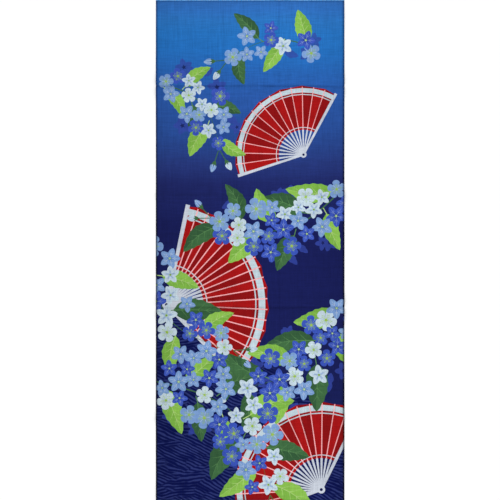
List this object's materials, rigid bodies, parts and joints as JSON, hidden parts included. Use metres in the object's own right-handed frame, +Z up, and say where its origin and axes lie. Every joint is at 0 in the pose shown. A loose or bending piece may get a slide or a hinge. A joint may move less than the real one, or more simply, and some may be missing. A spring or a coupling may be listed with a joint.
{
  "type": "tenugui towel",
  "caption": "Long narrow cotton hand towel with selvedge sides and plain cut ends, laid flat with its pressed fold creases.",
  "frame": {"origin": "the middle of the cloth's footprint, on the surface that it lies on", "axes": "+X across the width, +Y along the length towards the pale end that is the top of the print, +Z up from the surface"},
  "size_m": [0.339, 0.9, 0.0061],
  "materials": {
    "printed_cotton": "plain-weave cotton, matt, dyed from bright blue at one end to deep indigo at the other, with a printed design"
  },
  "bodies": {
    "root": {"cloth": "printed_cotton"}
  },
  "joints": []
}
